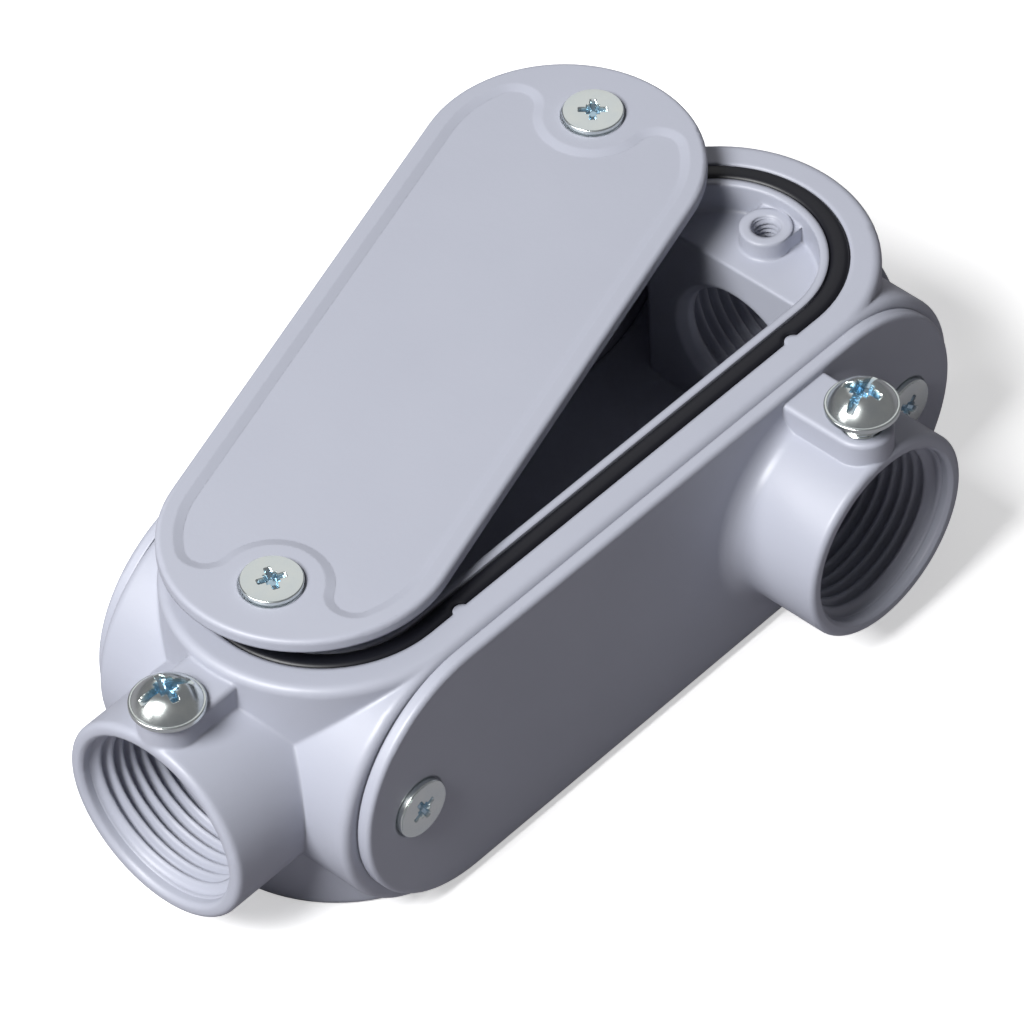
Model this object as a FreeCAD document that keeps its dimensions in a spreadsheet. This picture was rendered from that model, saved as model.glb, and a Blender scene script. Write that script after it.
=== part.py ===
import FreeCAD, Part
import Sketcher
import math
import os
from FreeCAD import Vector, Rotation, Placement

# Universal conduit body for three-quarter-inch threaded conduit, in millimetres.
# X runs along the body, with the outer threaded hub at its -X end.
# The -Y side carries the cover with a hub of its own. Z is up.
# The origin is the middle of the flat underside.

doc = FreeCAD.newDocument("conduit_body")
sheet = doc.addObject("Spreadsheet::Sheet", "Sizes")

sizes = [
    # the bores take one trade size of threaded conduit, and the rest follows from them
    ("bore_radius", 13.3),
    ("mouth_chamfer", 0.5),
    ("mouth_lead", 1.0),
    # the casting: a long block with rounded ends, wider than it is high
    ("arc_offset", 38.5),
    ("side_rim_width", 4.3),
    ("upright_rim_width", 2.5),
    ("lobe_shift", 1.5),
    ("seam_inset", 0.1),
    ("edge_round", 1.2),
    ("opening_rise", 0.5),
    ("hub_axis_rise", 0.1),
    # the three openings, alike on the top and both sides
    ("opening_margin", 0.95),
    ("inner_rim_width", 1.2),
    ("groove_width", 2.95),
    ("groove_depth", 2.0),
    ("nub_radius", 1.3),
    ("nub_depth", 0.8),
    ("nub_inset", 5.5),
    # the end blocks inside, which carry the threads and the cover screws
    ("block_length", 10.75),
    ("ledge_depth", 4.9),
    ("side_ledge_depth", 6.7),
    ("boss_wall", 1.65),
    ("boss_inset", 3.85),
    ("boss_recess", 1.9),
    ("boss_rib_width", 7.2),
    ("boss_rib_drop", 0.4),
    # the threaded hubs
    ("hub_wall", 2.2),
    ("hub_length", 12.3),
    ("hub_edge_round", 0.9),
    ("hub_bore_depth", 16.3),
    ("hub_stop_width", 3.6),
    ("throat_bevel", 1.2),
    ("ring_wall", 2.0),
    ("ring_inset", 1.0),
    ("ring_stop_thickness", 2.6),
    # the pad for the set screw on each hub
    ("pad_wall", 1.45),
    ("pad_height", 3.6),
    ("pad_round", 0.7),
    ("set_screw_inset", 4.4),
    # the covers
    ("cover_overlap", 1.75),
    ("cover_thickness", 1.9),
    ("cover_round", 0.7),
    ("border_width", 2.4),
    ("panel_sink", 0.4),
    ("panel_slope", 1.3),
    ("panel_edge", 0.02),
    ("land_width", 4.0),
    ("panel_tip_round", 3.0),
    ("seat_sink", 0.35),
    ("seat_clearance", 0.25),
    ("spotface_height", 3.0),
    # the top cover as it stands, lifted on its loosened screw and swung aside
    ("top_lift", 3.2),
    ("top_swing", 16.6),
    # the gaskets
    ("gasket_proud", 0.2),
    ("gasket_side_gap", 0.1),
    ("gasket_bevel", 0.6),
    # the hub on the side cover
    ("screw_hub_gap", 0.8),
    ("cover_hub_length", 14.7),
    ("cover_hub_flare", 2.6),
    ("cover_stop_thickness", 2.0),
    ("cover_stop_width", 2.9),
    ("cover_pad_height", 3.4),
    # the cover screws
    ("thread_radius", 2.05),
    ("thread_clearance", 0.05),
    ("shank_hole_clearance", 0.3),
    ("screw_length", 8.0),
    ("tapped_clearance", 0.55),
    ("latch_screw_clearance", 0.55),
    ("screw_tip_bevel", 0.5),
    ("cover_head_overhang", 2.25),
    ("cover_head_height", 1.3),
    ("cover_head_bevel", 0.4),
    ("recess_length", 3.6),
    ("recess_width", 0.9),
    ("recess_depth", 0.9),
    # the set screws
    ("set_thread_radius", 2.9),
    ("set_screw_length", 5.6),
    ("set_head_overhang", 2.3),
    ("set_head_height", 3.6),
    ("set_head_round", 3.0),
    ("set_recess_length", 6.4),
    ("set_recess_width", 1.3),
    ("set_recess_depth", 1.8),
    ("set_seat_gap", 0.1),
    ("cover_set_screw_lift", 3.0),
]

# What follows from the sizes. Each line may use the lines above it.
follows = [
    ("opening_radius", "{bore_radius} + {opening_margin}"),
    ("groove_inner", "{opening_radius} + {inner_rim_width}"),
    ("groove_outer", "{groove_inner} + {groove_width}"),
    ("body_half_width", "{groove_outer} + {side_rim_width}"),
    ("body_height", "2 * ({groove_outer} + {upright_rim_width})"),
    ("lobe_offset", "{arc_offset} + {lobe_shift}"),
    ("centre_height", "{body_height} / 2 + {opening_rise}"),
    ("hub_axis_height", "{body_height} / 2 + {hub_axis_rise}"),
    ("nub_offset", "{arc_offset} - {nub_inset}"),
    ("block_face", "{arc_offset} + {opening_radius} - {block_length}"),
    ("block_half_width", "{body_half_width} - {side_ledge_depth}"),
    ("screw_offset", "{arc_offset} + {opening_radius} - {boss_inset}"),
    ("boss_radius", "{thread_radius} + {boss_wall}"),
    ("hub_radius", "{bore_radius} + {hub_wall}"),
    ("hub_face", "{arc_offset} + {body_half_width} + {hub_length}"),
    ("throat_radius", "{bore_radius} - {hub_stop_width}"),
    ("ring_radius", "{bore_radius} + {ring_wall}"),
    ("ring_face", "{arc_offset} + {body_half_width} - {ring_inset}"),
    ("ring_bore_depth", "{ring_face} - {block_face} - {ring_stop_thickness}"),
    ("pad_half_width", "{set_thread_radius} + {pad_wall}"),
    ("pad_rise", "{hub_radius} + {pad_height}"),
    ("cover_radius", "{groove_outer} + {cover_overlap}"),
    ("cover_head_radius", "{thread_radius} + {cover_head_overhang}"),
    ("land_radius", "{cover_head_radius} + {land_width}"),
    ("seat_height", "{cover_thickness} - {seat_sink}"),
    ("hub_height", "{cover_thickness} + {cover_hub_length}"),
    ("cover_hub_offset", "{screw_offset} - {cover_head_radius} - {screw_hub_gap} - {hub_radius}"),
    ("cover_bore_depth", "{hub_height} - {cover_stop_thickness}"),
    ("cover_throat_radius", "{bore_radius} - {cover_stop_width}"),
    ("cover_pad_rise", "{hub_radius} + {cover_pad_height}"),
    ("tapped_depth", "{screw_length} - {seat_height} - {gasket_proud} - {boss_recess} + {tapped_clearance}"),
    ("latch_screw_length", "{top_lift} + {seat_height} - {latch_screw_clearance}"),
    ("set_head_radius", "{set_thread_radius} + {set_head_overhang}"),
]
for row, (name, value) in enumerate(sizes, start=1):
    sheet.set("A%d" % row, name.replace("_", " "))
    sheet.set("B%d" % row, str(value))
    sheet.setAlias("B%d" % row, name)
doc.recompute()


def spelled(expression):
    """The expression with each name in braces written out down to the sheet's cells."""
    text = expression
    for name, meaning in reversed(follows):
        text = text.replace("{" + name + "}", "(" + meaning + ")")
    for name, _ in sizes:
        text = text.replace("{" + name + "}", "Sizes." + name)
    return text


def bind(obj, prop, expression):
    """Ties a property to the sheet, so that it follows each size it names."""
    obj.setExpression(prop, spelled(expression))


def value_of(expression):
    """The number that an expression over the sheet gives now."""
    return float(sheet.evalExpression(spelled(expression)))


def origin_plane(body, role):
    return [f for f in body.Origin.OriginFeatures if f.Role == role][0]


def new_body(name):
    body = doc.addObject("PartDesign::Body", name)
    body.Label = name
    return body


def new_sketch(body, name, plane="XY_Plane"):
    sketch = body.newObject("Sketcher::SketchObject", name)
    sketch.AttachmentSupport = [(origin_plane(body, plane), "")]
    sketch.MapMode = "FlatFace"
    return sketch


def new_constraint(sketch, expression, *args):
    """A driving dimension whose value follows the sheet."""
    index = sketch.addConstraint(Sketcher.Constraint(*args, value_of(expression)))
    bind(sketch, "Constraints[%d]" % index, expression)


def stadium_outline(sketch, half_length, radius):
    """Two half circles joined by straight sides, centred on the sketch's origin."""
    a = value_of(half_length)
    r = value_of(radius)
    first = sketch.GeometryCount
    right = Part.ArcOfCircle(Part.Circle(Vector(a, 0, 0), Vector(0, 0, 1), r), -math.pi / 2, math.pi / 2)
    left = Part.ArcOfCircle(Part.Circle(Vector(-a, 0, 0), Vector(0, 0, 1), r), math.pi / 2, 1.5 * math.pi)
    sketch.addGeometry(right, False)
    sketch.addGeometry(Part.LineSegment(Vector(a, r, 0), Vector(-a, r, 0)), False)
    sketch.addGeometry(left, False)
    sketch.addGeometry(Part.LineSegment(Vector(-a, -r, 0), Vector(a, -r, 0)), False)
    for one, two in ((0, 1), (1, 2), (2, 3), (3, 0)):
        sketch.addConstraint(Sketcher.Constraint("Tangent", first + one, 2, first + two, 1))
    sketch.addConstraint(Sketcher.Constraint("Equal", first, first + 2))
    sketch.addConstraint(Sketcher.Constraint("Symmetric", first, 3, first + 2, 3, -1, 1))
    sketch.addConstraint(Sketcher.Constraint("PointOnObject", first, 3, -1))
    new_constraint(sketch, half_length, "DistanceX", -1, 1, first, 3)
    new_constraint(sketch, radius, "Radius", first)


def circle_outline(sketch, radius, x=None):
    """A circle on the sketch's horizontal axis, at the origin or a distance out."""
    place = value_of(x) if x else 0.0
    index = sketch.addGeometry(Part.Circle(Vector(place, 0, 0), Vector(0, 0, 1), value_of(radius)), False)
    if x:
        sketch.addConstraint(Sketcher.Constraint("PointOnObject", index, 3, -1))
        new_constraint(sketch, x, "DistanceX", -1, 1, index, 3)
    else:
        sketch.addConstraint(Sketcher.Constraint("Coincident", index, 3, -1, 1))
    new_constraint(sketch, radius, "Radius", index)


def tongue_outline(sketch, length, half_width):
    """A straight strip from the sketch's origin along +X that ends in a half circle."""
    a = value_of(length)
    w = value_of(half_width)
    end = Part.ArcOfCircle(Part.Circle(Vector(a, 0, 0), Vector(0, 0, 1), w), -math.pi / 2, math.pi / 2)
    sketch.addGeometry(end, False)
    sketch.addGeometry(Part.LineSegment(Vector(a, w, 0), Vector(0, w, 0)), False)
    sketch.addGeometry(Part.LineSegment(Vector(0, w, 0), Vector(0, -w, 0)), False)
    sketch.addGeometry(Part.LineSegment(Vector(0, -w, 0), Vector(a, -w, 0)), False)
    sketch.addConstraint(Sketcher.Constraint("Tangent", 0, 2, 1, 1))
    sketch.addConstraint(Sketcher.Constraint("Coincident", 1, 2, 2, 1))
    sketch.addConstraint(Sketcher.Constraint("Coincident", 2, 2, 3, 1))
    sketch.addConstraint(Sketcher.Constraint("Tangent", 3, 2, 0, 1))
    sketch.addConstraint(Sketcher.Constraint("PointOnObject", 2, 1, -2))
    sketch.addConstraint(Sketcher.Constraint("PointOnObject", 2, 2, -2))
    sketch.addConstraint(Sketcher.Constraint("PointOnObject", 0, 3, -1))
    new_constraint(sketch, length, "DistanceX", -1, 1, 0, 3)
    new_constraint(sketch, half_width, "Radius", 0)


def polygon_outline(sketch, corners):
    """A closed outline through corners whose two coordinates follow the sheet."""
    points = [Vector(value_of(x), value_of(y), 0) for x, y in corners]
    first = sketch.GeometryCount
    count = len(points)
    for i, point in enumerate(points):
        sketch.addGeometry(Part.LineSegment(point, points[(i + 1) % count]), False)
    for i in range(count):
        sketch.addConstraint(Sketcher.Constraint("Coincident", first + i, 2, first + (i + 1) % count, 1))
    for i, (x, y) in enumerate(corners):
        if x == "0":
            sketch.addConstraint(Sketcher.Constraint("PointOnObject", first + i, 1, -2))
        else:
            new_constraint(sketch, x, "DistanceX", -1, 1, first + i, 1)
        if y == "0":
            sketch.addConstraint(Sketcher.Constraint("PointOnObject", first + i, 1, -1))
        else:
            new_constraint(sketch, y, "DistanceY", -1, 1, first + i, 1)


def lift_sketch(sketch, height):
    bind(sketch, "AttachmentOffset.Base.z", height)


def add_pad(body, sketch, name, length, flip=False, both=False):
    pad = body.newObject("PartDesign::Pad", name)
    pad.Profile = sketch
    pad.Reversed = flip
    if both:
        pad.Midplane = True
    bind(pad, "Length", length)
    doc.recompute()
    return pad


def add_pocket(body, sketch, name, length, flip=False):
    before = body.Shape.Volume
    pocket = body.newObject("PartDesign::Pocket", name)
    pocket.Profile = sketch
    pocket.Reversed = flip
    bind(pocket, "Length", length)
    doc.recompute()
    if not body.Shape.Volume < before:
        raise RuntimeError(name + " cuts nothing")
    return pocket


def add_turned(body, sketch, name, axis):
    turned = body.newObject("PartDesign::Revolution", name)
    turned.Profile = sketch
    turned.ReferenceAxis = (sketch, [axis])
    turned.Angle = 360
    doc.recompute()
    return turned


def edges_where(shape, test):
    return ["Edge%d" % (i + 1) for i, edge in enumerate(shape.Edges) if test(edge.BoundBox, edge)]


def add_fillet(body, name, edges, radius):
    base = body.Tip
    fillet = body.newObject("PartDesign::Fillet", name)
    fillet.Base = (base, edges)
    bind(fillet, "Radius", radius)
    doc.recompute()
    return fillet


def place(obj, x=None, y=None, z=None, axis=None, angle=0.0):
    if axis:
        obj.Placement = Placement(Vector(0, 0, 0), Rotation(axis, angle))
    for letter, expression in (("x", x), ("y", y), ("z", z)):
        if expression:
            bind(obj, "Placement.Base." + letter, expression)


def cylinder(name, radius, height, x=None, y=None, z=None, axis=None, angle=0.0):
    obj = doc.addObject("Part::Cylinder", name)
    bind(obj, "Radius", radius)
    bind(obj, "Height", height)
    place(obj, x, y, z, axis, angle)
    return obj


def box(name, length, width, height, x=None, y=None, z=None):
    obj = doc.addObject("Part::Box", name)
    bind(obj, "Length", length)
    bind(obj, "Width", width)
    bind(obj, "Height", height)
    place(obj, x, y, z)
    return obj


def joined(name, pieces):
    obj = doc.addObject("Part::MultiFuse", name)
    obj.Shapes = pieces
    doc.recompute()
    return obj


def cut_from(name, base, tool):
    obj = doc.addObject("Part::Cut", name)
    obj.Base = base
    obj.Tool = tool
    doc.recompute()
    return obj


def shared(name, one, two):
    obj = doc.addObject("Part::Common", name)
    obj.Base = one
    obj.Tool = two
    doc.recompute()
    return obj


X_AXIS = Vector(1, 0, 0)
Y_AXIS = Vector(0, 1, 0)
Z_AXIS = Vector(0, 0, 1)
groove_outer = "{groove_outer}"
groove_inner = "{groove_inner}"

# The casting's outside is two rounded blocks in one, each with round ends.
# One is rounded in plan and makes the top and the flat underside.
# The other is rounded as seen from the side and makes the two long faces.
# Where they cross at the ends they leave four valleys that run to the middle.
plan_block = new_body("plan_block")
plan_sketch = new_sketch(plan_block, "plan_sketch")
stadium_outline(plan_sketch, "({arc_offset} + {seam_inset})", "({body_half_width} - {seam_inset})")
add_pad(plan_block, plan_sketch, "plan_pad", "{body_height}")
plan_edges = edges_where(plan_block.Shape, lambda b, e: b.ZLength < 0.001)
add_fillet(plan_block, "plan_round", plan_edges, "{edge_round}")

side_block = new_body("side_block")
side_sketch = new_sketch(side_block, "side_sketch", "XZ_Plane")
stadium_outline(side_sketch, "({lobe_offset} + {seam_inset})", "({body_height} / 2 - {seam_inset})")
add_pad(side_block, side_sketch, "side_pad", "2 * {body_half_width}", both=True)
side_edges = edges_where(side_block.Shape, lambda b, e: b.YLength < 0.001)
add_fillet(side_block, "side_round", side_edges, "{edge_round}")
place(side_block, z="{body_height} / 2")


def hub_barrel(name, side, radius, face, rounding):
    """A round hub along X, rounded at its face."""
    body = new_body(name)
    sketch = new_sketch(body, name + "_circle", "YZ_Plane")
    circle_outline(sketch, radius)
    add_pad(body, sketch, name + "_pad", face + " - {arc_offset}", flip=side < 0)
    rim = edges_where(body.Shape, lambda b, e: b.XLength < 0.001 and abs(b.XMin) > 1)
    add_fillet(body, name + "_round", rim, rounding)
    place(body, x="%d * {arc_offset}" % side, z="{hub_axis_height}")
    return body


near_hub = hub_barrel("near_hub", -1, "{hub_radius}", "{hub_face}", "{hub_edge_round}")
far_ring = hub_barrel("far_ring", 1, "{ring_radius}", "{ring_face}", "{hub_edge_round} / 2")

# The raised pad on the outer hub, which gives the set screw its thread length.
pad_length = "({hub_face} - {set_screw_inset} - {arc_offset} - {body_half_width} / 2)"
near_pad = new_body("near_pad")
near_pad_plan = new_sketch(near_pad, "near_pad_plan")
tongue_outline(near_pad_plan, pad_length, "{pad_half_width}")
add_pad(near_pad, near_pad_plan, "near_pad_pad", "{pad_rise}")
pad_top = edges_where(near_pad.Shape, lambda b, e: b.ZLength < 0.001 and b.ZMin > 1)
add_fillet(near_pad, "near_pad_round", pad_top, "{pad_round}")
near_pad.Placement = Placement(Vector(0, 0, 0), Rotation(Z_AXIS, 180))
bind(near_pad, "Placement.Base.x", "-({arc_offset} + {body_half_width} / 2)")
bind(near_pad, "Placement.Base.z", "{hub_axis_height}")

outside = joined("outside", [plan_block, side_block, near_hub, far_ring, near_pad])


def opening_tool(name, radius, bottom, reach, inner=None):
    """A stadium prism standing on its own XY plane, solid or as a ring."""
    body = new_body(name)
    sketch = new_sketch(body, name + "_outline")
    stadium_outline(sketch, "{arc_offset}", radius)
    if inner:
        stadium_outline(sketch, "{arc_offset}", inner)
    add_pad(body, sketch, name + "_pad", reach)
    place(body, z=bottom)
    return body


def turn_to_side(obj, side, distance):
    """Lays a tool that points up onto the -Y side (-1) or the +Y side (1).

    Its base then stands the given distance from the middle.
    """
    angle = 90 if side < 0 else -90
    obj.Placement = Placement(Vector(0, 0, 0), Rotation(X_AXIS, angle))
    bind(obj, "Placement.Base.y", "%d * (%s)" % (side, distance))
    bind(obj, "Placement.Base.z", "{centre_height}")


# The wiring chamber: the three openings run into each other between the end blocks.
floor_height = "({centre_height} - {opening_radius})"
shaft = opening_tool("chamber_shaft", "{opening_radius}", floor_height, "{body_height} - " + floor_height + " + 1")
cross = opening_tool("chamber_cross", "{opening_radius}", None, "2 * {body_half_width} + 2")
turn_to_side(cross, -1, "0 - {body_half_width} - 1")
between = box("between_blocks", "2 * {block_face}", "2 * {body_half_width} + 2", "{body_height} + 1",
              "-{block_face}", "-{body_half_width} - 1")
chamber = shared("chamber", between, joined("chamber_openings", [shaft, cross]))

# The pockets over the end blocks, one at each opening.
tools = [chamber]
ledge = "({body_height} - {ledge_depth})"
tools.append(opening_tool("top_pocket", "{opening_radius}", ledge, "{ledge_depth} + 1"))
for side, word in ((-1, "front"), (1, "back")):
    pocket = opening_tool(word + "_pocket", "{opening_radius}", None,
                          "{body_half_width} - {block_half_width} + 1")
    turn_to_side(pocket, side, "{block_half_width}")
    tools.append(pocket)


def groove_tool(name):
    """The gasket's groove, narrowed at four places by the nubs that hold it."""
    ring = opening_tool(name + "_ring", groove_outer, None, "{groove_depth} + 1", groove_inner)
    nubs = []
    for sx in (-1, 1):
        for sy in (-1, 1):
            nub = cylinder("%s_nub%d" % (name, len(nubs)), "{nub_radius}", "{groove_depth} + 1",
                           "%d * {nub_offset}" % sx,
                           "%d * (%s + {nub_radius} - {nub_depth})" % (sy, groove_outer))
            nubs.append(nub)
    return cut_from(name, ring, joined(name + "_nubs", nubs))


top_groove = groove_tool("top_groove")
place(top_groove, z="{body_height} - {groove_depth}")
tools.append(top_groove)
for side, word in ((-1, "front"), (1, "back")):
    groove = groove_tool(word + "_groove")
    turn_to_side(groove, side, "{body_half_width} - {groove_depth}")
    tools.append(groove)
hollowed = cut_from("hollowed", outside, joined("hollows", tools))


def at_both_ends(name, make):
    """The same piece at the +X end and, mirrored, at the -X end."""
    return joined(name, make(name + "_far", 1) + make(name + "_near", -1))


def boss_maker(depth):
    """A round post over a block's ledge, with a rib to the wall behind it.

    The rim's plane is at zero height here, and the ledge lies at the depth given.
    """
    high = "(" + depth + " + 1 - {boss_recess})"
    low = "-1 * (" + depth + " + 1)"
    rib_length = "({arc_offset} + {opening_radius} + 1 - {screw_offset})"

    def make(name, end):
        post = cylinder(name + "_post", "{boss_radius}", high, "%d * {screw_offset}" % end, z=low)
        rib_start = "{screw_offset}" if end > 0 else "-{screw_offset} - " + rib_length
        rib = box(name + "_rib", rib_length, "{boss_rib_width}", high + " - {boss_rib_drop}", rib_start,
                  "-{boss_rib_width} / 2", low)
        return [post, rib]

    return make


def tapped_maker(name, end):
    hole = cylinder(name + "_hole", "{thread_radius} + {thread_clearance}", "{boss_recess} + {tapped_depth}",
                    "%d * {screw_offset}" % end, z="-1 * ({boss_recess} + {tapped_depth})")
    return [hole]


# Six bosses for the cover screws: two at each opening.
top_bosses = at_both_ends("top_bosses", boss_maker("{ledge_depth}"))
place(top_bosses, z="{body_height}")
side_ledge = "({body_half_width} - {block_half_width})"
bosses = [top_bosses]
top_tapped = at_both_ends("top_tapped", tapped_maker)
place(top_tapped, z="{body_height}")
drills = [top_tapped]
for side, word in ((-1, "front"), (1, "back")):
    pair = at_both_ends(word + "_bosses", boss_maker(side_ledge))
    turn_to_side(pair, side, "{body_half_width}")
    bosses.append(pair)
    pair = at_both_ends(word + "_tapped", tapped_maker)
    turn_to_side(pair, side, "{body_half_width}")
    drills.append(pair)


def bore_tool(name, depth, whole, throat):
    """A threaded bore with its bevelled mouth and the narrower throat behind it.

    It runs along +X from its mouth at the origin to past the chamber's wall.
    """
    body = new_body(name)
    sketch = new_sketch(body, name + "_profile")
    polygon_outline(sketch, [
        ("-{mouth_lead}", "0"),
        ("-{mouth_lead}", "{bore_radius} + {mouth_chamfer}"),
        ("0", "{bore_radius} + {mouth_chamfer}"),
        ("{mouth_chamfer}", "{bore_radius}"),
        (depth, "{bore_radius}"),
        (depth, throat),
        (whole + " - {throat_bevel}", throat),
        (whole, throat + " + {throat_bevel}"),
        (whole + " + 1", throat + " + {throat_bevel}"),
        (whole + " + 1", "0"),
    ])
    add_turned(body, sketch, name + "_turned", "H_Axis")
    return body


near_bore = bore_tool("near_bore", "{hub_bore_depth}", "({hub_face} - {block_face})", "{throat_radius}")
place(near_bore, x="-{hub_face}", z="{hub_axis_height}")
far_bore = bore_tool("far_bore", "{ring_bore_depth}", "({ring_face} - {block_face})", "{throat_radius}")
far_bore.Placement = Placement(Vector(0, 0, 0), Rotation(Z_AXIS, 180))
bind(far_bore, "Placement.Base.x", "{ring_face}")
bind(far_bore, "Placement.Base.z", "{hub_axis_height}")
near_set_hole = cylinder("near_set_hole", "{set_thread_radius} + {thread_clearance}", "{pad_rise} + 1",
                         "-({hub_face} - {set_screw_inset})", z="{hub_axis_height}")
with_bosses = joined("with_bosses", [hollowed] + bosses)
bores = joined("bores", [near_bore, far_bore, near_set_hole] + drills)
casting = cut_from("conduit_body", with_bosses, bores)
casting.Label = "conduit_body"

# The covers. Each lies in its own frame with its underside at zero height.
cover_screw_hole = "({thread_radius} + {shank_hole_clearance})"


def cover_plate(name):
    """A stadium plate with a rounded top edge, in a frame centred on its middle."""
    body = new_body(name)
    plan = new_sketch(body, name + "_plan")
    stadium_outline(plan, "{arc_offset}", "{cover_radius}")
    add_pad(body, plan, name + "_plate", "{cover_thickness}")
    top = edges_where(body.Shape, lambda b, e: b.ZLength < 0.001 and b.ZMin > 0.5)
    add_fillet(body, name + "_round", top, "{cover_round}")
    return body


def cover_drilling(body, name):
    """The two screw holes with the shallow seats around them."""
    seats = new_sketch(body, name + "_seats")
    lift_sketch(seats, "{cover_thickness} + {spotface_height}")
    holes = new_sketch(body, name + "_holes")
    lift_sketch(holes, "{cover_thickness}")
    for end in (1, -1):
        circle_outline(seats, "{cover_head_radius} + {seat_clearance}", "%d * {screw_offset}" % end)
        circle_outline(holes, cover_screw_hole, "%d * {screw_offset}" % end)
    add_pocket(body, seats, name + "_seat_cut", "{seat_sink} + {spotface_height}")
    add_pocket(body, holes, name + "_hole_cut", "{cover_thickness}")


def add_slope(body, name, edges):
    """Lays the panel's upright walls back into gentle slopes."""
    base = body.Tip
    slope = body.newObject("PartDesign::Chamfer", name)
    slope.Base = (base, edges)
    slope.ChamferType = "Two distances"
    bind(slope, "Size", "{panel_slope}")
    bind(slope, "Size2", "{panel_sink} - {panel_edge}")
    doc.recompute()


def blank_cover(name):
    """A cover whose face is sunk inside a border, with raised lands at the screws."""
    body = cover_plate(name)
    panel = new_sketch(body, name + "_panel")
    lift_sketch(panel, "{cover_thickness}")
    stadium_outline(panel, "{arc_offset}", "({cover_radius} - {border_width} - {panel_slope})")
    add_pocket(body, panel, name + "_panel_cut", "{panel_sink}")
    lands = new_sketch(body, name + "_lands")
    lift_sketch(lands, "({cover_thickness} - {panel_sink})")
    for end in (1, -1):
        circle_outline(lands, "{land_radius}", "%d * {screw_offset}" % end)
    add_pad(body, lands, name + "_land_pad", "{panel_sink}")
    tips = edges_where(body.Shape, lambda b, e: b.XLength < 0.001 and b.YLength < 0.001)
    add_fillet(body, name + "_tip_round", tips, "{panel_tip_round}")
    top = value_of("{cover_thickness}")
    rim = value_of("{cover_radius} - {cover_round}")

    def panel_brink(b, e):
        if b.ZMin < top - 0.001 or b.ZLength > 0.001:
            return False
        if isinstance(e.Curve, Part.Circle):
            return abs(e.Curve.Radius - rim) > 0.001
        return abs(b.YMin) < rim - 0.001

    add_slope(body, name + "_slope", edges_where(body.Shape, panel_brink))
    cover_drilling(body, name)
    return body


top_cover = blank_cover("top_cover")
top_cover.Placement = Placement(Vector(0, 0, 0), Rotation(Z_AXIS, 1))
bind(top_cover, "Placement.Rotation.Angle", "{top_swing}")
bind(top_cover, "Placement.Base.x", "{screw_offset} * (cos({top_swing}) - 1)")
bind(top_cover, "Placement.Base.y", "{screw_offset} * sin({top_swing})")
bind(top_cover, "Placement.Base.z", "{body_height} + {top_lift}")
seated = "({body_half_width} + {gasket_proud})"
side_cover = blank_cover("side_cover")
turn_to_side(side_cover, 1, seated)

# The front cover carries a threaded hub of its own, off the middle.
hub_height = "{hub_height}"
hub_plate = cover_plate("hub_plate")
hub_plan = new_sketch(hub_plate, "hub_plan")
lift_sketch(hub_plan, "{cover_thickness}")
circle_outline(hub_plan, "{hub_radius}", "{cover_hub_offset}")
add_pad(hub_plate, hub_plan, "hub_pad", "{cover_hub_length}")


def hub_ring(height):
    """The hub's full-size round edge at a height."""
    def test(b, e):
        if not isinstance(e.Curve, Part.Circle):
            return False
        return abs(e.Curve.Radius - value_of("{hub_radius}")) < 0.001 and abs(b.ZMin - height) < 0.001
    return edges_where(hub_plate.Shape, test)


add_fillet(hub_plate, "hub_flare", hub_ring(value_of("{cover_thickness}")), "{cover_hub_flare}")
add_fillet(hub_plate, "hub_face_round", hub_ring(value_of("{hub_height}")), "{hub_edge_round}")
cover_drilling(hub_plate, "hub_plate")
cover_pad = new_body("cover_pad")
cover_pad_plan = new_sketch(cover_pad, "cover_pad_plan")
tongue_outline(cover_pad_plan, "({cover_thickness} / 2 + {cover_hub_length} - {set_screw_inset})",
               "{pad_half_width}")
add_pad(cover_pad, cover_pad_plan, "cover_pad_pad", "{cover_pad_rise}")
pad_top = edges_where(cover_pad.Shape, lambda b, e: b.ZLength < 0.001 and b.ZMin > 1)
add_fillet(cover_pad, "cover_pad_round", pad_top, "{pad_round}")
cover_pad.Placement = Placement(Vector(0, 0, 0), Rotation(Vector(1, 1, 1), 240))
bind(cover_pad, "Placement.Base.x", "{cover_hub_offset}")
bind(cover_pad, "Placement.Base.z", "{cover_thickness} / 2")
cover_bore = bore_tool("cover_bore", "{cover_bore_depth}", hub_height, "{cover_throat_radius}")
cover_bore.Placement = Placement(Vector(0, 0, 0), Rotation(Y_AXIS, 90))
bind(cover_bore, "Placement.Base.x", "{cover_hub_offset}")
bind(cover_bore, "Placement.Base.z", hub_height)
cover_set_hole = cylinder("cover_set_hole", "{set_thread_radius} + {thread_clearance}", "{cover_pad_rise} + 1",
                          axis=X_AXIS, angle=-90)
bind(cover_set_hole, "Placement.Base.x", "{cover_hub_offset}")
bind(cover_set_hole, "Placement.Base.z", hub_height + " - {set_screw_inset}")
hub_cover = cut_from("hub_cover", joined("hub_cover_solid", [hub_plate, cover_pad]),
                     joined("hub_cover_bores", [cover_bore, cover_set_hole]))
turn_to_side(hub_cover, -1, seated)


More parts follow.
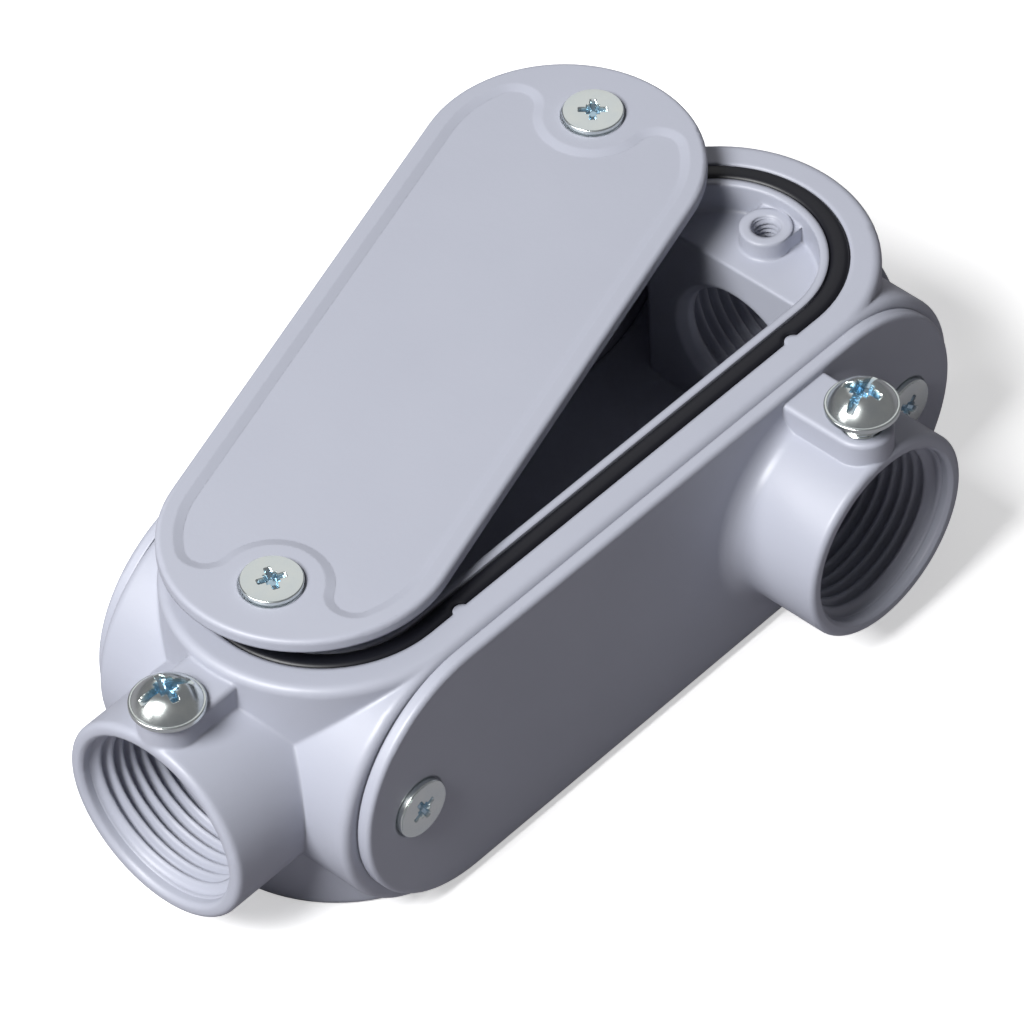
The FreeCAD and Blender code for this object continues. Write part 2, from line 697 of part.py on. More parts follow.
def gasket(name):
    """A soft ring lying in its groove and standing a little proud of the rim.

    Its frame is the rim's plane. The notches fit round the groove's four nubs.
    """
    body = new_body(name)
    plan = new_sketch(body, name + "_plan")
    lift_sketch(plan, "-{groove_depth}")
    stadium_outline(plan, "{arc_offset}", "(" + groove_outer + " - {gasket_side_gap})")
    stadium_outline(plan, "{arc_offset}", "(" + groove_inner + " + {gasket_side_gap})")
    add_pad(body, plan, name + "_ring", "{groove_depth} + {gasket_proud}")
    top = edges_where(body.Shape, lambda b, e: b.ZLength < 0.001 and b.ZMin > 0)
    bevel = body.newObject("PartDesign::Chamfer", name + "_bevel")
    bevel.Base = (body.getObject(name + "_ring"), top)
    bind(bevel, "Size", "{gasket_bevel}")
    doc.recompute()
    notches = []
    for sx in (-1, 1):
        for sy in (-1, 1):
            notch = cylinder("%s_notch%d" % (name, len(notches)), "{nub_radius} + {gasket_side_gap}",
                             "{groove_depth} + {gasket_proud} + 2", "%d * {nub_offset}" % sx,
                             "%d * (%s + {nub_radius} - {nub_depth})" % (sy, groove_outer),
                             "-{groove_depth} - 1")
            notches.append(notch)
    return cut_from(name + "_notched", body, joined(name + "_notches", notches))


top_gasket = gasket("top_ring")
place(top_gasket, z="{body_height}")
side_gasket = gasket("side_ring")
turn_to_side(side_gasket, 1, "{body_half_width}")
hub_cover_gasket = gasket("front_ring")
turn_to_side(hub_cover_gasket, -1, "{body_half_width}")


def screw(name, kind, length):
    """A machine screw with a crossed slot, its head standing on zero height."""
    body = new_body(name)
    profile = new_sketch(body, name + "_profile", "XZ_Plane")
    thread = "{" + kind["thread"] + "}"
    head = "{" + kind["head"] + "}"
    rise = "{" + kind["rise"] + "}"
    crown = [(head, rise)]
    if "bevel" in kind:
        bevel = "{" + kind["bevel"] + "}"
        crown = [(head, rise + " - " + bevel), (head + " - " + bevel, rise)]
    polygon_outline(profile, [
        ("0", "-1 * (" + length + ")"),
        (thread + " - {screw_tip_bevel}", "-1 * (" + length + ")"),
        (thread, "-1 * (" + length + ") + {screw_tip_bevel}"),
        (thread, "0"),
        (head, "0"),
    ] + crown + [("0", rise)])
    add_turned(body, profile, name + "_turned", "V_Axis")
    if "round" in kind:
        rims = edges_where(body.Shape, lambda b, e: b.ZLength < 0.001 and b.ZMin > 0.1)
        add_fillet(body, name + "_round", rims, "{" + kind["round"] + "}")
    long, wide, deep = ["{" + kind[k] + "}" for k in ("long", "wide", "deep")]
    for word, length_of, width_of in (("along", long, wide), ("across", wide, long)):
        slot = body.newObject("PartDesign::SubtractiveBox", name + "_" + word)
        bind(slot, "Length", length_of)
        bind(slot, "Width", width_of)
        bind(slot, "Height", deep + " + 1")
        bind(slot, "Placement.Base.x", "-1 * " + length_of + " / 2")
        bind(slot, "Placement.Base.y", "-1 * " + width_of + " / 2")
        bind(slot, "Placement.Base.z", rise + " - " + deep)
        doc.recompute()
    return body


cover_kind = {"thread": "thread_radius", "head": "cover_head_radius", "rise": "cover_head_height",
              "bevel": "cover_head_bevel", "long": "recess_length", "wide": "recess_width", "deep": "recess_depth"}
set_kind = {"thread": "set_thread_radius", "head": "set_head_radius", "rise": "set_head_height",
            "round": "set_head_round", "long": "set_recess_length", "wide": "set_recess_width",
            "deep": "set_recess_depth"}
seat_height = "{seat_height}"
top_pivot_screw = screw("top_pivot_screw", cover_kind, "{screw_length}")
place(top_pivot_screw, x="-{screw_offset}", z="{body_height} + {top_lift} + " + seat_height)
top_latch_screw = screw("top_latch_screw", cover_kind, "{latch_screw_length}")
place(top_latch_screw, "{screw_offset} * (2 * cos({top_swing}) - 1)", "{screw_offset} * 2 * sin({top_swing})",
      "{body_height} + {top_lift} + " + seat_height)
seated_screws = {}
for cover, side in (("side_cover", 1), ("hub_cover", -1)):
    for word, end in (("near", -1), ("far", 1)):
        one = screw(cover + "_screw_" + word, cover_kind, "{screw_length}")
        turn_to_side(one, side, seated + " + " + seat_height)
        bind(one, "Placement.Base.x", "%d * {screw_offset}" % end)
        seated_screws[one.Name] = one
hub_set_screw = screw("hub_set_screw", set_kind, "{set_screw_length}")
place(hub_set_screw, x="-({hub_face} - {set_screw_inset})", z="{hub_axis_height} + {pad_rise} + {set_seat_gap}")
cover_hub_set_screw = screw("cover_hub_set_screw", set_kind, "{set_screw_length}")
place(cover_hub_set_screw, "{cover_hub_offset}", "-1 * (" + seated + " + " + hub_height + " - {set_screw_inset})",
      "{centre_height} + {cover_pad_rise} + {set_seat_gap} + {cover_set_screw_lift}")

nodes = {
    "conduit_body": casting,
    "top_cover": top_cover,
    "side_cover": side_cover,
    "hub_cover": hub_cover,
    "top_gasket": top_gasket,
    "side_gasket": side_gasket,
    "hub_cover_gasket": hub_cover_gasket,
    "top_pivot_screw": top_pivot_screw,
    "top_latch_screw": top_latch_screw,
    "hub_set_screw": hub_set_screw,
    "cover_hub_set_screw": cover_hub_set_screw,
}
nodes.update(seated_screws)
for name, obj in nodes.items():
    obj.Label = name
doc.recompute()
for obj in doc.Objects:
    if "Invalid" in obj.State or "Error" in obj.State:
        raise RuntimeError(obj.Name + " did not build")
os.makedirs("parts", exist_ok=True)
for name, obj in nodes.items():
    shape = obj.Shape
    if shape.isNull() or not shape.isValid() or not shape.Solids:
        raise RuntimeError(name + " is not a sound solid")
    shape.exportStep("parts/" + name + ".step")
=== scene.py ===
import bpy
import math
import numpy as np
from mathutils import Matrix, Quaternion, Vector


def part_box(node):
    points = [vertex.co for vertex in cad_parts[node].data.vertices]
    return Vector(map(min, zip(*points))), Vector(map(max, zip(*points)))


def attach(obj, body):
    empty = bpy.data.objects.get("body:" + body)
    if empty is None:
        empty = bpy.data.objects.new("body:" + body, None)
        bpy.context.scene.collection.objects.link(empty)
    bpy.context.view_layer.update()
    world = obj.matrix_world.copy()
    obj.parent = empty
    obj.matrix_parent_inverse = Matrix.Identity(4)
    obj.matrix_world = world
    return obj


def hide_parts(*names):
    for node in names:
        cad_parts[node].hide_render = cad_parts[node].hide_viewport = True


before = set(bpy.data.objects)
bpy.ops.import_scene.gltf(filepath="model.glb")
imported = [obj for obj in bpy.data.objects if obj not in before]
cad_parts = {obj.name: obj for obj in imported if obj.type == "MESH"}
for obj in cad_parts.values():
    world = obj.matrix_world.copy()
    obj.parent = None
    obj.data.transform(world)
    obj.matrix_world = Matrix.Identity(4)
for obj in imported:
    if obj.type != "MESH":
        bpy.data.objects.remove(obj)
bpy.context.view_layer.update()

MM = 0.001

# Casting. A die-cast aluminium chamber with a threaded hub, sprayed with light
# grey lacquer that lies in a fine orange peel.


def to_linear(colour):
    """Each sRGB channel of a hex colour as light: c/12.92, or ((c+0.055)/1.055)^2.4."""
    channels = np.array([int(colour[i:i + 2], 16) for i in (1, 3, 5)]) / 255
    light = np.where(channels <= 0.04045, channels / 12.92, ((channels + 0.055) / 1.055) ** 2.4)
    return (*light, 1.0)


def add_node(material, kind, settings=None, **sockets):
    """Adds one node, sets its properties, and fills or links its named inputs."""
    node = material.node_tree.nodes.new(kind)
    for name, value in (settings or {}).items():
        setattr(node, name, value)
    for name, value in sockets.items():
        fits = [socket for socket in node.inputs if socket.name == name.replace("_", " ") and socket.enabled]
        if isinstance(value, bpy.types.NodeSocket):
            material.node_tree.links.new(value, fits[0])
        else:
            fits[0].default_value = value
    return node


def new_material(name):
    material = bpy.data.materials.new(name)
    material.use_nodes = True
    material.node_tree.nodes.clear()
    return material


def finish_material(material, shader):
    output = material.node_tree.nodes.new("ShaderNodeOutputMaterial")
    material.node_tree.links.new(shader.outputs[0], output.inputs["Surface"])
    return material


def dress(node_name, material):
    mesh = bpy.data.objects[node_name].data
    mesh.materials.clear()
    mesh.materials.append(material)


def lacquered_aluminium(name, colour, cloud_colour, edge_width):
    """Satin lacquer on cast aluminium: IOR 1.5, a fine orange peel, softened edges."""
    material = new_material(name)
    place = add_node(material, "ShaderNodeTexCoord").outputs["Object"]
    edge = add_node(material, "ShaderNodeBevel", {"samples": 8}, Radius=edge_width)
    # Orange peel about 1.2 mm from crest to crest, over a grain of 0.3 mm.
    peel = add_node(material, "ShaderNodeTexNoise", Vector=place, Scale=820.0, Detail=1.5)
    grain = add_node(material, "ShaderNodeTexNoise", Vector=place, Scale=3300.0, Detail=2.0)
    soft = add_node(material, "ShaderNodeBump", Height=peel.outputs["Fac"], Normal=edge.outputs[0],
                    Strength=0.14, Distance=0.10 * MM)
    fine = add_node(material, "ShaderNodeBump", Height=grain.outputs["Fac"], Normal=soft.outputs[0],
                    Strength=0.16, Distance=0.03 * MM)
    # Cloudiness about 18 mm across, from uneven spraying.
    cloud = add_node(material, "ShaderNodeTexNoise", Vector=place, Scale=55.0, Detail=3.0)
    tone = add_node(material, "ShaderNodeMix", {"data_type": "RGBA"}, Factor=cloud.outputs["Fac"],
                    A=to_linear(colour), B=to_linear(cloud_colour))
    sheen = add_node(material, "ShaderNodeMapRange", Value=cloud.outputs["Fac"], From_Min=0.3, From_Max=0.7,
                     To_Min=0.36, To_Max=0.46)
    shader = add_node(material, "ShaderNodeBsdfPrincipled", Normal=fine.outputs[0],
                      Roughness=sheen.outputs[0], Base_Color=tone.outputs[2], IOR=1.5)
    return finish_material(material, shader)


casting_lacquer = lacquered_aluminium("casting_lacquer", "#a9acb8", "#a4a7b3", 0.9 * MM)
dress("conduit_body", casting_lacquer)

# Hub threads. Tapered pipe thread, fourteen to the inch, cut after casting and
# sprayed with the body; crests and roots wear the same lacquer, the roots darker only in shade.

PIPE_PITCH = 1.814 * MM
PIPE_DEPTH = 1.35 * MM
PIPE_TAPER = 1 / 32
PIPE_BORE = 13.3 * MM
FIRST_GROOVE = 1.6 * MM
hub_height = 21.0 * MM
cover_hub_offset = 28.3 * MM


def new_piece(name, points, faces, material, body, sharp_over=40.0):
    """Makes a mesh object with smooth faces, split where they meet sharply, on a body."""
    mesh = bpy.data.meshes.new(name)
    mesh.from_pydata(points.tolist(), [], faces if isinstance(faces, list) else faces.tolist())
    mesh.materials.append(material)
    mesh.shade_smooth()
    mesh.set_sharp_from_angle(angle=math.radians(sharp_over))
    piece = bpy.data.objects.new(name, mesh)
    bpy.context.collection.objects.link(piece)
    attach(piece, body)
    return piece


def ring_faces(rows, columns, closed_rows):
    """Quads between neighbouring rows of a grid whose columns close into a ring."""
    last = rows if closed_rows else rows - 1
    row, column = np.meshgrid(np.arange(last), np.arange(columns), indexing="ij")
    next_row, next_column = (row + 1) % rows, (column + 1) % columns
    quads = np.stack([row * columns + column, next_row * columns + column,
                      next_row * columns + next_column, row * columns + next_column], axis=-1)
    return quads.reshape(-1, 4)


def thread_sleeve(name, start, end, bore, pitch, depth, taper, turn_steps, body, material, to_world):
    """A thread's inner wall, closed by an outer wall that lies inside the metal.

    At a distance s down the bore and an angle a round it, the wall stands at
    bore + wall - depth * fade(s) * crest(s / pitch - a / one turn) - taper * s,
    where crest is a rounded tooth and fade grows over the first and last turn.
    """
    steps = int(round((end - start) / pitch * turn_steps))
    s = np.linspace(start, end, steps)[:, None]
    a = np.linspace(0, 2 * math.pi, 180, endpoint=False)[None, :]
    phase = (s / pitch + a / (2 * math.pi)) % 1.0
    tooth = np.clip(1.32 * (1 - np.abs(2 * phase - 1)) - 0.10, 0, 1)
    tooth = tooth * tooth * (3 - 2 * tooth) * 0.35 + tooth * 0.65
    fade = np.clip((s - start) / (1.1 * pitch), 0, 1) * np.clip((end - s) / (0.9 * pitch), 0, 1)
    radius = bore - 0.02 * MM - fade * (depth * tooth + taper * (s - start))
    inner = np.stack([np.broadcast_to(s, radius.shape), radius * np.cos(a), radius * np.sin(a)], axis=-1)
    outer = []
    for place, out in ((end + 0.05 * MM, 0.05), (end + 0.05 * MM, 0.4), (start - 0.05 * MM, 0.4),
                       (start - 0.05 * MM, 0.05)):
        rim = np.full(a.shape, bore + out * MM)
        outer.append(np.stack([np.full(a.shape, place), rim * np.cos(a), rim * np.sin(a)], axis=-1))
    grid = np.concatenate([inner] + outer, axis=0)
    rows, columns = grid.shape[:2]
    points = grid.reshape(-1, 3) @ np.array(to_world.to_3x3()).T + np.array(to_world.translation)
    piece = new_piece(name, points, ring_faces(rows, columns, True), material, body)
    return piece


def drill_for_screw(piece, screw_node):
    """Cuts the thread away where a set screw's tapped hole breaks through it."""
    low, high = (Vector(corner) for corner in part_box(screw_node))
    middle = (low + high) / 2
    # The hole is 0.15 mm wider all round than the screw, and only the upper wall is cut.
    hole_radius, hole_length, above_axis = 3.05 * MM, 14.0 * MM, 10.0 * MM
    bpy.ops.mesh.primitive_cylinder_add(vertices=96, radius=hole_radius, depth=hole_length,
                                        location=(middle.x, middle.y, hub_height + above_axis))
    cutter = bpy.context.object
    hole = piece.modifiers.new("screw_hole", "BOOLEAN")
    hole.operation = "DIFFERENCE"
    hole.solver = "EXACT"
    hole.object = cutter
    with bpy.context.temp_override(object=piece):
        bpy.ops.object.modifier_apply(modifier=hole.name)
    bpy.data.objects.remove(cutter)


# Down the bore is local +X. The second hub looks the other way, and the third
# stands on the front cover and looks along -Y.
near_mouth = Matrix.Translation((-73.5 * MM, 0, hub_height))
far_mouth = Matrix.Translation((60.2 * MM, 0, hub_height)) @ Matrix.Rotation(math.pi, 4, "Z")
cover_mouth = Matrix.Translation((cover_hub_offset, -39.5 * MM, 21.4 * MM)) @ Matrix.Rotation(
    math.pi / 2, 4, "Z")
for name, length, mouth, slot, screw_node in (
        ("near_hub_thread", 15.9 * MM, near_mouth, "casting", "hub_set_screw"),
        ("far_end_thread", 15.2 * MM, far_mouth, "casting", None),
        ("cover_hub_thread", 14.2 * MM, cover_mouth, "cover_paint", "cover_hub_set_screw")):
    sleeve = thread_sleeve(name, FIRST_GROOVE, length, PIPE_BORE, PIPE_PITCH, PIPE_DEPTH, PIPE_TAPER, 12,
                           "casting", casting_lacquer, mouth)
    if screw_node:
        drill_for_screw(sleeve, screw_node)

# The tapped hole in the boss that the top cover's latch screw leaves free.
boss_mouth = Matrix.Translation((48.9 * MM, 0, 39.9 * MM)) @ Matrix.Rotation(math.pi / 2, 4, "Y")
thread_sleeve("boss_thread", 0.3 * MM, 4.7 * MM, 2.1 * MM, 0.794 * MM, 0.36 * MM, 0.0, 10,
              "casting", casting_lacquer, boss_mouth)

# Covers. Die-cast plates in the same lacquer as the body. The blank ones have a
# shallow panel pressed below a border, with a raised land at each screw.
cover_lacquer = lacquered_aluminium("cover_lacquer", "#a9acb8", "#a5a8b4", 0.45 * MM)
for node_name in ("top_cover", "side_cover", "hub_cover"):
    dress(node_name, cover_lacquer)

# Gaskets. Moulded black rubber rings with a round crown, pinched at four places
# where the casting's nubs hold them in the groove. The skin is slightly glossy.
rubber = new_material("black_rubber")
place = add_node(rubber, "ShaderNodeTexCoord").outputs["Object"]
skin = add_node(rubber, "ShaderNodeTexNoise", Vector=place, Scale=2600.0, Detail=3.0)
rough_skin = add_node(rubber, "ShaderNodeBump", Height=skin.outputs["Fac"], Strength=0.2, Distance=0.04 * MM)
shader = add_node(rubber, "ShaderNodeBsdfPrincipled", Normal=rough_skin.outputs[0], Roughness=0.42,
                  Specular_IOR_Level=0.4, Base_Color=to_linear("#0f1017"))
finish_material(rubber, shader)


def gasket_ring(name, node_name, to_world):
    """A bar of rounded section carried round a stadium and pinched at the nubs.

    Along the path at distance t the centre line is two straights joined by half
    circles of radius 16.925. Across it, the section is a superellipse whose
    outer half stops 0.1 short of the nubs, circles of 1.3 that reach in 0.8.
    """
    radius, straight = 16.925 * MM, 77.0 * MM
    half_width, bottom, crown = 1.375 * MM, -2.0 * MM, 0.2 * MM
    nub_along, nub_row, nub_reach = 33.0 * MM, 18.9 * MM, 1.4 * MM
    arc = math.pi * radius
    t = np.linspace(0, 2 * (straight + arc), 640, endpoint=False)
    lap = t % (straight + arc)
    flip = np.where(t < straight + arc, 1.0, -1.0)
    bend = np.clip((lap - straight) / radius, 0, math.pi)
    along = np.minimum(lap, straight) - straight / 2
    normal = np.stack([np.sin(bend), -np.cos(bend)], axis=-1) * flip[:, None]
    centre = np.stack([along * flip, np.zeros_like(along)], axis=-1) + normal * radius
    reach = np.full_like(t, half_width)
    nub = np.minimum(np.abs(centre[:, 0] - nub_along), np.abs(centre[:, 0] + nub_along))
    near = nub < nub_reach
    pinch = nub_row - np.sqrt(nub_reach ** 2 - nub[near] ** 2) - radius
    reach[near] = np.minimum(reach[near], pinch)
    turn = np.linspace(0, 2 * math.pi, 28, endpoint=False)[None, :]
    squash = 0.62
    side = np.sign(np.cos(turn)) * np.abs(np.cos(turn)) ** squash
    lift = np.sign(np.sin(turn)) * np.abs(np.sin(turn)) ** squash
    inner = -half_width
    middle, half = (reach + inner)[:, None] / 2, (reach - inner)[:, None] / 2
    offset = middle + half * side
    height = (crown + bottom) / 2 + (crown - bottom) / 2 * lift * np.ones_like(offset)
    flat = centre[:, None, :] + normal[:, None, :] * offset[:, :, None]
    grid = np.concatenate([flat, height[:, :, None]], axis=-1)
    points = grid.reshape(-1, 3) @ np.array(to_world.to_3x3()).T + np.array(to_world.translation)
    piece = new_piece(name, points, ring_faces(*grid.shape[:2], True), rubber, "casting", 60.0)
    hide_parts(node_name)
    return piece


gasket_ring("top_gasket_ring", "top_gasket", Matrix.Translation((0, 0, 41.8 * MM)))
gasket_ring("side_gasket_ring", "side_gasket",
            Matrix.Translation((0, 22.7 * MM, 21.4 * MM)) @ Matrix.Rotation(-math.pi / 2, 4, "X"))
gasket_ring("hub_cover_gasket_ring", "hub_cover_gasket",
            Matrix.Translation((0, -22.7 * MM, 21.4 * MM)) @ Matrix.Rotation(math.pi / 2, 4, "X"))

# Screws. Cold-headed steel with rolled threads, zinc plated and passivated, which
# gives a bright skin; the blue in each recess is a painted reflection.
zinc = new_material("zinc_plated_steel")
place = add_node(zinc, "ShaderNodeTexCoord").outputs["Object"]
bloom = add_node(zinc, "ShaderNodeTexNoise", Vector=place, Scale=420.0, Detail=3.0)
plating = add_node(zinc, "ShaderNodeMix", {"data_type": "RGBA"}, Factor=bloom.outputs["Fac"],
                   A=to_linear("#cfd8da"), B=to_linear("#e6eae4"))
# Painted reflection: the recess is tinted blue, more deeply where it is deeper, for what its facets mirror.
painted_recess_reflection = add_node(zinc, "ShaderNodeAttribute", {"attribute_name": "recess"})
plating_and_painted_reflection = add_node(zinc, "ShaderNodeMix", {"data_type": "RGBA"}, Factor=painted_recess_reflection.outputs["Fac"],
                  A=plating.outputs[2], B=to_linear("#b2cbd9"))
wear = add_node(zinc, "ShaderNodeMapRange", Value=bloom.outputs["Fac"], To_Min=0.14, To_Max=0.30)
ripple = add_node(zinc, "ShaderNodeBump", Height=bloom.outputs["Fac"], Strength=0.2, Distance=0.02 * MM)
shader = add_node(zinc, "ShaderNodeBsdfPrincipled", Metallic=1.0, Roughness=wear.outputs[0],
                  Base_Color=plating_and_painted_reflection.outputs[2], Normal=ripple.outputs[0])
finish_material(zinc, shader)


def recess_floor(x, y, crown, top, recess):
    """The head's height under a point, and how far the recess lowers it.

    Each arm's floor is top - depth * (1 - 0.6 * distance / reach), with walls
    that fall across the outer part of its half width. The core is a square pit
    set across the arms. A slot, if any, has a flat floor and runs along x.
    """
    reach, width, depth, slot_depth, slot_width = recess

    def within(distance, limit, slope):
        return np.clip((limit - np.abs(distance)) / slope, 0, 1)

    def cut(height, floor, mask):
        return height - mask * np.maximum(height - floor, 0)

    height = crown
    for along, across in ((x, y), (y, x)):
        floor = top - depth * (1 - 0.6 * np.abs(along) / reach)
        height = np.minimum(height, cut(crown, floor, within(across, width, 0.45 * width)
                                        * within(along, reach, 0.2 * reach)))
    core = within((np.abs(x + y) + np.abs(x - y)) / 2, 0.46 * reach, 0.16 * reach)
    height = np.minimum(height, cut(crown, top - depth, core))
    if slot_depth:
        height = np.minimum(height, cut(crown, top - slot_depth, within(y, slot_width, 0.35 * slot_width)))
    return height, np.clip((crown - height) / (0.5 * depth), 0, 1)


def closed_shell(rows, columns):
    """Faces of a stack of rings whose first and last rows close on a middle point."""
    faces = ring_faces(rows, columns, False).tolist()
    index = np.arange(columns)
    after = (index + 1) % columns
    base = (rows - 1) * columns
    faces += np.stack([index, after, np.full(columns, rows * columns)], axis=-1).tolist()
    faces += np.stack([base + after, base + index, np.full(columns, rows * columns + 1)], axis=-1).tolist()
    return faces


def head_shell(radius, lip, rise, power, lip_height, neck, recess):
    """Rings from the crown's middle over the lip and in under the head to its neck.

    The crown's height is lip_height + rise * (1 - (distance / its radius)^power).
    """
    columns = 216
    angle = np.linspace(0, 2 * math.pi, columns, endpoint=False)[None, :]
    dome = radius - lip
    inner = np.linspace(0.015, 1.06 * recess[0] / dome, 50)
    spread = np.concatenate([inner, np.linspace(inner[-1], 1.0, 26)[1:]])[:, None] * dome
    x, y = spread * np.cos(angle), spread * np.sin(angle)
    crown = lip_height + rise * (1 - (spread / dome) ** power) * np.ones_like(angle)
    z, depth = recess_floor(x, y, crown, lip_height + rise, recess)
    rows = [np.stack([x, y, z], axis=-1)]
    edge = 0.22 * MM
    bend = np.linspace(0, math.pi / 2, 5)
    rims = [(dome + 0.01 * MM, lip_height - 0.04 * MM)] if lip > 0.2 * MM else []
    shoulder = lip_height - 0.05 * MM - edge
    rims += [(radius - edge + edge * math.sin(t), shoulder + edge * math.cos(t)) for t in bend]
    rims += [(radius, 0.1 * MM), (radius - 0.1 * MM, 0.0), (neck, 0.0), (neck, -0.6 * MM)]
    for out, level in rims:
        ring = [out * np.cos(angle), out * np.sin(angle), np.full(angle.shape, level)]
        rows.append(np.stack(ring, axis=-1))
    grid = np.concatenate(rows, axis=0)
    # How far the recess lowers the head is the mask for the painted blue reflection.
    painted_reflection_mask = np.concatenate([depth.reshape(-1), np.zeros(len(rims) * columns), [1.0, 0.0]])
    ends = np.array([[0, 0, z[0].mean()], [0, 0, -0.6 * MM]])
    return np.concatenate([grid.reshape(-1, 3), ends]), closed_shell(grid.shape[0], columns), painted_reflection_mask


def shank_shell(thread, pitch, root_depth, length):
    """Rings down a threaded shank to its bevelled tip.

    The radius is thread - fade * root_depth * root(z / pitch - angle / one turn),
    where root is a rounded valley and fade grows over the first turn.
    """
    columns = 72
    angle = np.linspace(0, 2 * math.pi, columns, endpoint=False)[None, :]
    down = np.linspace(0.1 * MM, length, int(length / pitch * 12))[:, None]
    phase = (down / pitch - angle / (2 * math.pi)) % 1.0
    root = np.clip(1.3 * np.abs(2 * phase - 1) - 0.15, 0, 1)
    fade = np.clip((down - 0.2 * MM) / (0.6 * pitch), 0, 1)
    tip = np.clip((down - length + 0.7 * MM) / (0.7 * MM), 0, 1)
    radius = thread - fade * root_depth * root - 0.5 * MM * tip
    grid = np.stack([radius * np.cos(angle), radius * np.sin(angle),
                     np.broadcast_to(-down, radius.shape)], axis=-1)
    ends = np.array([[0, 0, -0.1 * MM], [0, 0, -length]])
    points = np.concatenate([grid.reshape(-1, 3), ends])
    return points, closed_shell(grid.shape[0], columns), np.zeros(len(points))


def screw_piece(node_name, body, head, shank, spin, to_world):
    """A screw's head and shank as two closed shells in one mesh, the shank inside the neck."""
    head_points, head_faces, head_painted_reflection = head_shell(*head)
    shank_points, shank_faces, shank_painted_reflection = shank_shell(*shank)
    faces = head_faces + [[corner + len(head_points) for corner in face] for face in shank_faces]
    turned = to_world @ Matrix.Rotation(math.radians(spin), 4, "Z")
    points = np.concatenate([head_points, shank_points])
    points = points @ np.array(turned.to_3x3()).T + np.array(turned.translation)
    piece = new_piece(node_name + "_plated", points, faces, zinc, body, 30.0)
    # This attribute carries the painted blue reflection in the recess.
    recess = piece.data.attributes.new("recess", "FLOAT", "POINT")
    recess.data.foreach_set("value", np.concatenate([head_painted_reflection, shank_painted_reflection]))
    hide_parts(node_name)
    return piece


# Radius, lip, rise, power, lip height, neck, and the recess: reach, half width,
# depth, slot depth, half slot width. Shank: radius, pitch, root depth.
FLAT_HEAD = (4.3 * MM, 0.15 * MM, 0.08 * MM, 4, 1.22 * MM, 1.6 * MM, (2.1 * MM, 0.5 * MM, 0.9 * MM, 0, 0))
COVER_THREAD = (2.05 * MM, 0.794 * MM, 0.34 * MM)
DOME_HEAD = (5.2 * MM, 0.4 * MM, 2.75 * MM, 2.9, 0.85 * MM, 2.2 * MM,
             (2.9 * MM, 0.62 * MM, 2.3 * MM, 1.5 * MM, 0.62 * MM))
SET_THREAD = (2.9 * MM, 1.27 * MM, 0.6 * MM)


def head_seat(node_name, axis, height):
    """Where the underside of a screw's head lies: its box's far end less the head's height."""
    low, high = (Vector(corner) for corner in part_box(node_name))
    seat = (low + high) / 2
    number = "xyz".index(axis[1])
    seat[number] = high[number] - height if axis[0] == "+" else low[number] + height
    return Matrix.Translation(seat) @ {
        "+z": Matrix.Identity(4),
        "+y": Matrix.Rotation(-math.pi / 2, 4, "X"),
        "-y": Matrix.Rotation(math.pi / 2, 4, "X")}[axis]


for node_name, body, axis, length, spin in (
        ("top_pivot_screw", "pivot_screw", "+z", 8.0, 62),
        ("top_latch_screw", "swinging_cover", "+z", 4.2, 41),
        ("side_cover_screw_near", "casting", "+y", 8.0, 31),
        ("side_cover_screw_far", "casting", "+y", 8.0, 74),
        ("hub_cover_screw_near", "casting", "-y", 8.0, 25),
        ("hub_cover_screw_far", "casting", "-y", 8.0, 50)):
    screw_piece(node_name, body, FLAT_HEAD, COVER_THREAD + (length * MM,), spin,
                head_seat(node_name, axis, 1.3 * MM))
for node_name, body, spin in (("hub_set_screw", "hub_clamp_screw", -18),
                              ("cover_hub_set_screw", "cover_clamp_screw", 14)):
    screw_piece(node_name, body, DOME_HEAD, SET_THREAD + (5.6 * MM,), spin,
                head_seat(node_name, "+z", 3.6 * MM))

# Floor, light and camera. A plain pale floor under soft light from the left.
bpy.ops.mesh.primitive_plane_add(size=6.0, location=(0, 0, 0))
floor = bpy.context.object
floor.name = "floor"
white = new_material("white_floor")
# The floor looks white, with pale shadows, but throws little light back.
path = add_node(white, "ShaderNodeLightPath")
card = add_node(white, "ShaderNodeMix", {"data_type": "RGBA"}, Factor=path.outputs["Is Camera Ray"],
                A=to_linear("#868489"), B=to_linear("#f4f4f4"))
glow = add_node(white, "ShaderNodeMapRange", Value=path.outputs["Is Camera Ray"], To_Max=0.5)
shader = add_node(white, "ShaderNodeBsdfPrincipled", Base_Color=card.outputs[2], Roughness=0.9,
                  Emission_Color=to_linear("#ffffff"), Emission_Strength=glow.outputs[0])
finish_material(white, shader)
floor.data.materials.append(white)


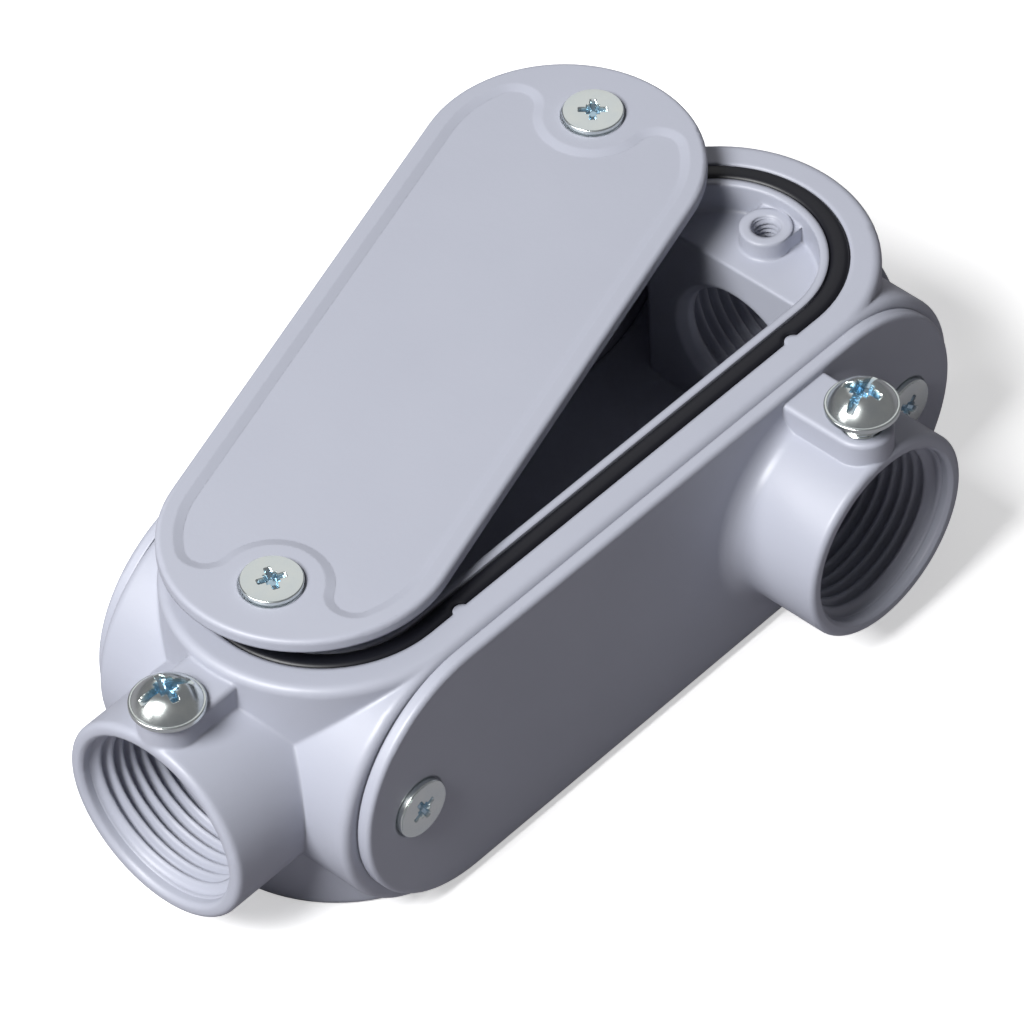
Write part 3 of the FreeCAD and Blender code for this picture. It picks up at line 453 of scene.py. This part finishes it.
def area_light(name, place, target, size, power, colour):
    """A square soft box, aimed at a point."""
    light = bpy.data.lights.new(name, "AREA")
    light.shape = "RECTANGLE"
    light.size, light.size_y = size
    light.energy = power
    light.color = to_linear(colour)[:3]
    obj = bpy.data.objects.new(name, light)
    bpy.context.collection.objects.link(obj)
    obj.location = place
    obj.rotation_euler = (Vector(target) - Vector(place)).to_track_quat("-Z", "Y").to_euler()
    return obj


area_light("left_window", (-1.12, 0.05, 1.33), (0, 0, 0.02), (0.7, 0.7), 47.0, "#ffffff")
area_light("back_panel", (0.75, 0.8, 1.15), (0, 0, 0.02), (1.0, 1.0), 2.0, "#ffffff")
glint = area_light("glint_panel", (-1.33, 0.6, 0.9), (0, 0, 0.02), (0.7, 0.9), 9.0, "#ffffff")
glint.visible_diffuse = False

world = bpy.data.worlds.new("studio")
bpy.context.scene.world = world
world.use_nodes = True
world.node_tree.nodes["Background"].inputs["Color"].default_value = to_linear("#eeedf2")
# Polished metal sees a brighter room than the one that lights the shadows.
mirrored = world.node_tree.nodes.new("ShaderNodeLightPath").outputs["Is Glossy Ray"]
room = world.node_tree.nodes.new("ShaderNodeMapRange")
room.inputs["To Min"].default_value = 0.11
room.inputs["To Max"].default_value = 0.24
world.node_tree.links.new(mirrored, room.inputs["Value"])
world.node_tree.links.new(room.outputs[0], world.node_tree.nodes["Background"].inputs["Strength"])
bpy.context.scene.view_settings.view_transform = "Standard"

# The camera stands where the photograph was taken, worked out from the object's
# own edges and circles. Its turn is given as an axis scaled by an angle.
eye = Vector((-0.5621, -0.5448, 0.8247))
turn = Vector((2.1877, -0.9832, 0.3580))
to_camera = Quaternion(turn.normalized(), turn.length).to_matrix()
camera_data = bpy.data.cameras.new("camera")
camera_data.sensor_width = 36.0
camera_data.lens = 290.8
camera_data.clip_start, camera_data.clip_end = 0.05, 10.0
camera = bpy.data.objects.new("camera", camera_data)
bpy.context.collection.objects.link(camera)
facing = to_camera.transposed() @ Matrix.Diagonal((1, -1, -1))
camera.matrix_world = Matrix.Translation(eye) @ facing.to_4x4()
bpy.context.scene.camera = camera
